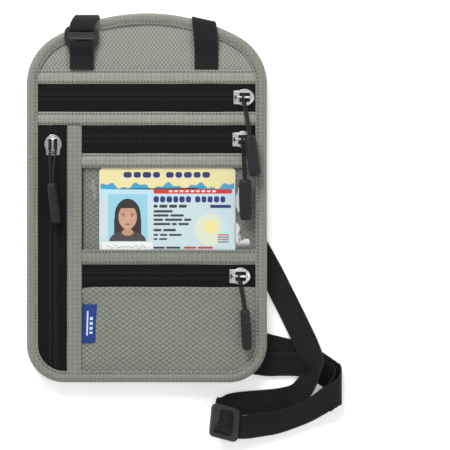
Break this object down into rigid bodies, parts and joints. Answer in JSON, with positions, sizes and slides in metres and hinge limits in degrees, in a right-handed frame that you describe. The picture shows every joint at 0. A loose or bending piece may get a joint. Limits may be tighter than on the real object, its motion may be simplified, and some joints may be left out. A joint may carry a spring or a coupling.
{
  "type": "neck pouch wallet",
  "caption": "Flat gray neck pouch with four zips, a clear card window, fabric binding and an adjustable webbing neck strap.",
  "frame": {"origin": "centre of the pouch's footprint at the level it rests on, lying on its back", "axes": "+Z out of the pouch's front, +Y towards the top edge where the strap is sewn in, +X to the right seen from the front"},
  "size_m": [0.1983, 0.2693, 0.0254],
  "materials": {
    "ripstop": "matt ripstop nylon",
    "back_fabric": "matt padded nylon",
    "binding": "folded nylon binding",
    "foil_lining": "metal-coated cloth",
    "lining": "thin lining cloth",
    "clear_film": "clear flexible film",
    "card": "laminated card",
    "label": "woven label",
    "zip_tape": "black woven tape",
    "zip_coil": "black nylon coil",
    "webbing": "dark woven webbing",
    "plastic": "satin acetal",
    "slider_metal": "gunmetal plate",
    "pull_cord": "black braided cord",
    "grip_rubber": "textured moulded rubber"
  },
  "bodies": {
    "pouch": {"back_panel": "back_fabric", "edge_binding": "binding", "shield_lining": "foil_lining", "main_divider": "lining", "front_upper_panel": "ripstop", "lower_front_panel": "ripstop", "strip_1": "ripstop", "strip_2": "ripstop", "strip_3": "ripstop", "strip_4": "ripstop", "strip_upright": "ripstop", "window_backing": "lining", "clear_window": "clear_film", "side_label": "label", "zip_1_tape_lower": "zip_tape", "zip_1_tape_upper": "zip_tape", "zip_2_tape_lower": "zip_tape", "zip_2_tape_upper": "zip_tape", "zip_4_tape_lower": "zip_tape", "zip_4_tape_upper": "zip_tape", "upright_zip_tape_left": "zip_tape", "upright_zip_tape_right": "zip_tape", "zip_1_coil_lower": "zip_coil", "zip_1_coil_upper": "zip_coil", "zip_2_coil_lower": "zip_coil", "zip_2_coil_upper": "zip_coil", "zip_4_coil_lower": "zip_coil", "zip_4_coil_upper": "zip_coil", "upright_zip_coil_left": "zip_coil", "upright_zip_coil_right": "zip_coil", "neck_strap": "webbing", "strap_return": "webbing", "ring_loop": "webbing", "tab_webbing": "webbing"},
    "id_card": {"id_card": "card"},
    "strap_ring": {"strap_ring": "plastic"},
    "tri_glide": {"tri_glide": "plastic"},
    "zip_1_slider": {"zip_1_slider": "slider_metal"},
    "zip_1_puller": {"zip_1_pull_cord": "pull_cord", "zip_1_pull_grip": "grip_rubber"},
    "zip_2_slider": {"zip_2_slider": "slider_metal"},
    "zip_2_puller": {"zip_2_pull_cord": "pull_cord", "zip_2_pull_grip": "grip_rubber"},
    "upright_zip_slider": {"upright_zip_slider": "slider_metal"},
    "upright_zip_puller": {"upright_zip_pull_cord": "pull_cord", "upright_zip_pull_grip": "grip_rubber"},
    "zip_4_slider": {"zip_4_slider": "slider_metal"},
    "zip_4_puller": {"zip_4_pull_cord": "pull_cord", "zip_4_pull_grip": "grip_rubber"}
  },
  "joints": [
    {"name": "zip_1_slide", "type": "slide", "parent": "pouch", "child": "zip_1_slider", "axis": [-1, 0, 0], "range_m": [0, 0.115]},
    {"name": "zip_2_slide", "type": "slide", "parent": "pouch", "child": "zip_2_slider", "axis": [-1, 0, 0], "range_m": [0, 0.093]},
    {"name": "upright_zip_slide", "type": "slide", "parent": "pouch", "child": "upright_zip_slider", "axis": [0, -1, 0], "range_m": [0, 0.126]},
    {"name": "zip_4_slide", "type": "slide", "parent": "pouch", "child": "zip_4_slider", "axis": [-1, 0, 0], "range_m": [0, 0.0885]},
    {"name": "zip_1_puller_hinge", "type": "hinge", "parent": "zip_1_slider", "child": "zip_1_puller", "pos_m": [0.061, 0.0629, 0.01505], "axis": [-1, 0, 0], "range_deg": [0, 110]},
    {"name": "zip_2_puller_hinge", "type": "hinge", "parent": "zip_2_slider", "child": "zip_2_puller", "pos_m": [0.0604, 0.0365, 0.01505], "axis": [-1, 0, 0], "range_deg": [0, 32]},
    {"name": "upright_zip_puller_hinge", "type": "hinge", "parent": "upright_zip_slider", "child": "upright_zip_puller", "pos_m": [-0.0588, 0.0332, 0.01505], "axis": [-1, 0, 0], "range_deg": [0, 32]},
    {"name": "zip_4_puller_hinge", "type": "hinge", "parent": "zip_4_slider", "child": "zip_4_puller", "pos_m": [0.0585, -0.0493, 0.01505], "axis": [-1, 0, 0], "range_deg": [0, 110]},
    {"name": "tri_glide_slide", "type": "slide", "parent": "pouch", "child": "tri_glide", "axis": [1, 0, 0], "range_m": [-0.025, 0.02], "deforming": ["neck_strap", "strap_return"]},
    {"name": "strap_ring_hinge", "type": "hinge", "parent": "pouch", "child": "strap_ring", "pos_m": [-0.0407, 0.0959, 0.0152], "axis": [1, 0, 0], "range_deg": [0, 40], "deforming": ["ring_loop"]},
    {"name": "id_card_slide", "type": "slide", "parent": "pouch", "child": "id_card", "axis": [1, 0, 0], "range_m": [-0.009, 0.011]}
  ]
}
